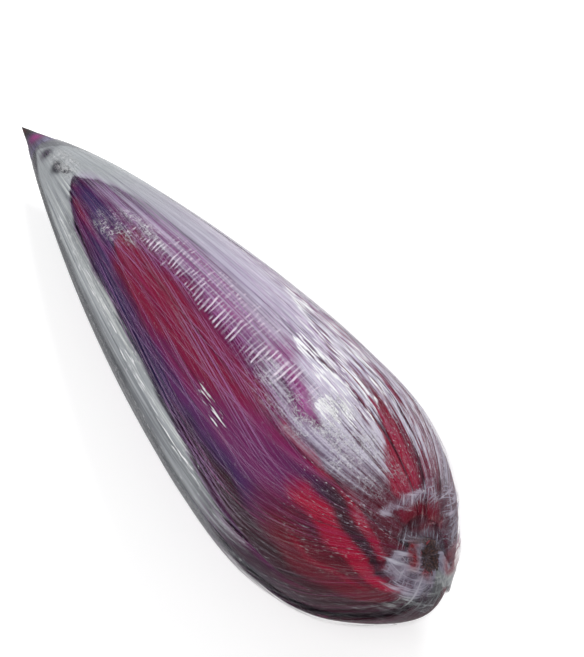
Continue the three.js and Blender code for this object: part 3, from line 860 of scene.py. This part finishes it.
# Uneven milkiness: streaks along the pull, and round the stem strands that lie crosswise.
bundle = film_finish.noise(110, 3.2, detail=2.0, shift=5.3)
fine = film_finish.noise(50, 0.8, detail=2.0, shift=6.1)
folds = solid_noise(film_finish, 5, detail=5.0)
whirl = film_finish.noise(14, 2.4, detail=3.0, shift=1.9, twist=22.0).fade(0.5, 0.75) * 0.7
whirl = whirl.most(strands(film_finish, 16, 1.1, 0.6, 1.3).fade(0.48, 0.72))
whirl = whirl.most(strands(film_finish, 11, 0.8, -0.5, 5.1).fade(0.52, 0.74))
uneven_pull = (bundle * 0.6 + fine * 0.7 - 0.65) * along
uneven_pull = uneven_pull + (folds * 0.6 - 0.32 + whirl * 0.3) * near_stem
streaks = 0.5 + uneven_pull * streaky
dashes = film_finish.noise(8, 0.6, detail=6.0, shift=1.1)
sheen_haze = milky_sheen + uneven_pull * (streaky + 2.2 * streaked_sheen)
sheen_veil = (sheen_haze + (dashes - 0.5) * streaked_sheen * 1.6).fade(0.15, 0.85)

# Crinkles: short strokes side by side across the pull, here and there, raised in relief and painted white
# as their glint.
strokes = comb(film_finish, 2.1, 0.25, film_finish.noise(5, 12, detail=2.0, shift=1.7)).fade(0.3, 0.95)
strokes = strokes * film_finish.noise(4, 7, detail=2.0, shift=4.7).fade(0.3, 0.66)
gapped = crinkled + film_finish.noise(3, 1.5, detail=2.0, shift=2.2) * 1.4 - 0.8
strokes = strokes * gapped.fade(0.0, 0.7)

# Painted glints, white where the film catches the light: on the creases in a net, which are also raised
# in relief, on the painted highlight, on wrinkles and on flecks.
patches = film_finish.noise(14, 4, shift=3.3).fade(0.42, 0.6)
net = threads(film_finish.noise(5, 1.0, detail=4.0, shift=9.1), 10) * along * 0.7
net = net.most(threads(solid_noise(film_finish, 2.2, detail=4.0), 11) * (1 - 0.7 * near_stem))
net = net.most(whirl * near_stem * 0.5)
creases = net * (0.3 + 0.7 * patches) * crumpled
# Painted highlight: solid white where its strength is high, broken into short dashes where it is low.
painted_highlight = (highlit + dashes * 3 - 2.45).fade(0.0, 0.25)
glint_flecks = film_finish.noise(2.2, 0.5, detail=2.0, shift=4.1).fade(0.6, 0.72)
glint_flecks = glint_flecks * bundle.fade(0.4, 0.55) * glinting
wrinkles = threads(film_finish.noise(16, 0.9, detail=4.0, shift=5.9), 9) * streaked_sheen * 0.5
glints = (creases * 0.7).most(painted_highlight * 0.95).most(glint_flecks * 0.7).most(wrinkles)

# How far the film hides what lies under it: fully at 1.
cover = 0.01 + sheen_veil * 0.92 + (lines * 0.38).most(strokes * 0.8) * (1 - sheen_veil) + glints * 0.8

# Silver to white in the milky film, which is partly painted reflection, lavender where a bract tints it,
# painted shade where it turns from the light, and painted white on the crinkles and on what glints.
tone = film_finish.mix(streaks.fade(0.34, 0.5), colour("7a7e84"), colour("a8acb0"))
tone = film_finish.mix(streaks.fade(0.52, 0.7), tone, colour("d4d8d8"))
lavender = film_finish.mix(streaks.fade(0.36, 0.62), colour("9a90a8"), colour("c2bcd0"))
tone = film_finish.mix(mauve, tone, lavender)
# Painted shade, and the dark contact spots where the film touches the bud.
tone = film_finish.mix(shade_and_contact, tone, colour("2c2e36"))
tone = film_finish.mix(blush * folds.fade(0.32, 0.55), tone, colour("861428"))
line_tone = film_finish.mix(taut, colour("b89098"), colour("b884c0"))
tone = film_finish.mix(lines * (1 - sheen_veil * (1 - 0.4 * mauve)), tone, line_tone)
# Painted glint on the crinkles, then on the other glints.
tone = film_finish.mix(strokes * 0.9, tone, colour("f0e0f0"))
tone = film_finish.mix(glints, tone, colour("f8f8fa"))
relief = film_finish.bump(streaks, 0.35)
relief = film_finish.bump(lines * 0.3 + strokes + creases, 0.3, relief)
film_finish.surface({
    "Base Color": tone,
    "Roughness": 0.14 + 0.12 * milky_sheen,
    "IOR": 1.14,
    "Alpha": cover.least(0.97),
    "Normal": relief,
})
depth = film_depth(share, turn, tints)
film_wrap = add_skin(
    "stretched_film", "film_wrap", share, turn, depth, film_faces, film_finish, tints
)


# ---- Table and light ---------------------------------------------------------------------------
# A plain white table in a pale room. One soft box stands behind the blossom, a wider one hangs over
# its near side and a strip light stands at its left. The rest comes evenly from all round.
FLOOR_HALF = 3.0
ROOM_GLOW = 0.35
TABLE_GLOW = 0.42
BLOSSOM_MIDDLE = Vector((0, 0, 0.04))

floor_corners = np.array([(-1, -1, 0), (1, -1, 0), (1, 1, 0), (-1, 1, 0)]) * FLOOR_HALF
floor_mesh = bpy.data.meshes.new("table_top")
floor_mesh.from_pydata(floor_corners.tolist(), [], [(0, 1, 2, 3)])
floor_finish = Finish("matt white")
floor_finish.surface({
    "Base Color": colour("f6f6f6"),
    "Roughness": 0.9,
    "Emission Color": (1, 1, 1, 1),
    "Emission Strength": TABLE_GLOW,
})
floor_mesh.materials.append(floor_finish.material)
floor = bpy.data.objects.new("table_top", floor_mesh)
bpy.context.scene.collection.objects.link(floor)

world = bpy.data.worlds.new("pale room")
world.use_nodes = True
backdrop = world.node_tree.nodes["Background"]
backdrop.inputs["Color"].default_value = (1, 1, 1, 1)
backdrop.inputs["Strength"].default_value = ROOM_GLOW
bpy.context.scene.world = world
bpy.context.scene.view_settings.view_transform = "Standard"


def add_light(name, place, size, power):
    """An oval soft box that faces the blossom's middle."""
    light = bpy.data.lights.new(name, "AREA")
    light.shape = "ELLIPSE"
    light.size, light.size_y = size
    light.energy = power
    lamp = bpy.data.objects.new(name, light)
    lamp.location = place
    lamp.rotation_mode = "QUATERNION"
    lamp.rotation_quaternion = (Vector(place) - BLOSSOM_MIDDLE).to_track_quat("Z", "Y")
    bpy.context.scene.collection.objects.link(lamp)


add_light("soft_box", (-0.70, 0.65, 0.85), (0.4, 0.3), 9.0)
add_light("fill_box", (0.3, -0.6, 1.1), (1.0, 0.8), 6.0)
add_light("strip_light", (-0.1, -1.0, 0.5), (0.9, 0.12), 1.2)
